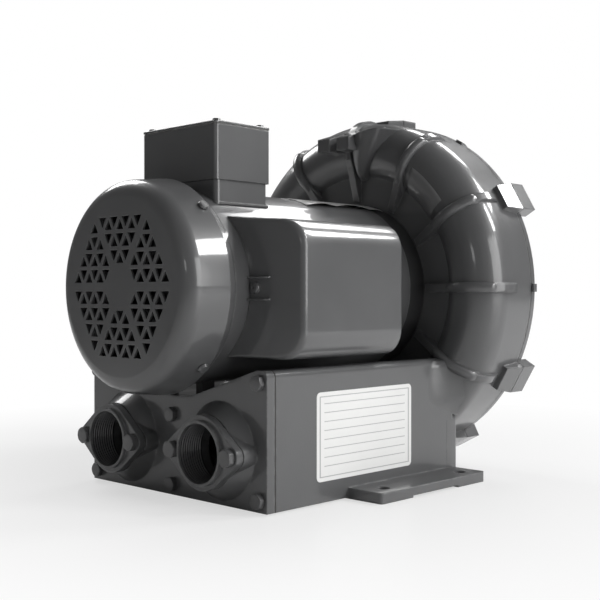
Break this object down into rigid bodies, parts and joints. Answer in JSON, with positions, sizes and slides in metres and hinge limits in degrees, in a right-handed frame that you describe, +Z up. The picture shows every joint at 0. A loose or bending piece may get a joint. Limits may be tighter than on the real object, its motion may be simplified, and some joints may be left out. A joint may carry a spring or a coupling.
{
  "type": "side channel blower",
  "caption": "Regenerative side channel blower: flange motor with fan cover, terminal box and capacitor cover, ribbed ring housing on a cast silencer base with side-by-side screwed ports.",
  "frame": {"origin": "on the floor plane, in the middle of the four mounting holes", "axes": "+X across the blower, towards the capacitor cover and the outlet port; +Y along the shaft from the fan to the impeller; +Z up"},
  "size_m": [0.318, 0.353, 0.328],
  "materials": {
    "housing_grey": "semi-gloss dark grey enamel",
    "motor_grey": "semi-gloss dark grey enamel",
    "cast_aluminium": "bare machined casting",
    "steel": "ground steel",
    "lamination": "stacked steel sheet",
    "copper": "varnished copper wire",
    "rubber": "black rubber",
    "gasket": "fibre gasket",
    "black_plastic": "moulded black plastic",
    "foil": "thin bare foil",
    "label": "plain white film",
    "foam": "open foam"
  },
  "bodies": {
    "frame": {"blower_housing": "housing_grey", "housing_cover": "housing_grey", "cover_gasket": "gasket", "cover_bolts": "housing_grey", "shaft_seal": "rubber", "drive_bearing_outer": "steel", "fan_bearing_outer": "steel", "stator_core": "lamination", "windings": "copper", "motor_shell": "motor_grey", "drive_end_shield": "motor_grey", "fan_end_shield": "motor_grey", "through_bolts": "steel", "motor_bolts": "steel", "fan_cover": "motor_grey", "fan_cover_screws": "motor_grey", "terminal_box_base": "motor_grey", "terminal_box_body": "motor_grey", "terminal_box_gasket": "gasket", "terminal_box_lid": "motor_grey", "terminal_box_screws": "motor_grey", "terminal_block": "black_plastic", "terminal_studs": "copper", "capacitor_cover": "motor_grey", "capacitor_brackets": "motor_grey", "capacitor_screws": "motor_grey", "capacitors": "black_plastic", "motor_nameplate": "foil", "side_label": "label", "support_pads": "rubber", "plate_gasket": "gasket", "port_plate": "housing_grey", "port_gaskets": "gasket", "inlet_flange": "housing_grey", "outlet_flange": "housing_grey", "port_bolts": "housing_grey", "plate_bolts": "housing_grey", "silencer_tubes": "steel", "silencer_foam": "foam"},
    "rotor": {"shaft": "steel", "rotor_core": "lamination", "impeller": "cast_aluminium", "impeller_key": "steel", "impeller_shims": "steel", "impeller_washer": "steel", "impeller_bolt": "steel", "drive_bearing_inner": "steel", "fan_bearing_inner": "steel", "cooling_fan": "black_plastic", "fan_clip": "steel"},
    "drive_balls": {"drive_bearing_balls": "steel"},
    "fan_balls": {"fan_bearing_balls": "steel"}
  },
  "joints": [
    {"name": "rotor_spin", "type": "hinge", "parent": "frame", "child": "rotor", "pos_m": [0, 0, 0.165], "axis": [0, 1, 0], "continuous": true},
    {"name": "drive_cage_spin", "type": "hinge", "parent": "frame", "child": "drive_balls", "pos_m": [0, 0.0565, 0.165], "axis": [0, 1, 0], "continuous": true},
    {"name": "fan_cage_spin", "type": "hinge", "parent": "frame", "child": "fan_balls", "pos_m": [0, -0.166, 0.165], "axis": [0, 1, 0], "continuous": true}
  ],
  "couplings": [
    {"joint": "drive_cage_spin", "follows": "rotor_spin", "ratio": 0.416},
    {"joint": "fan_cage_spin", "follows": "rotor_spin", "ratio": 0.407}
  ]
}
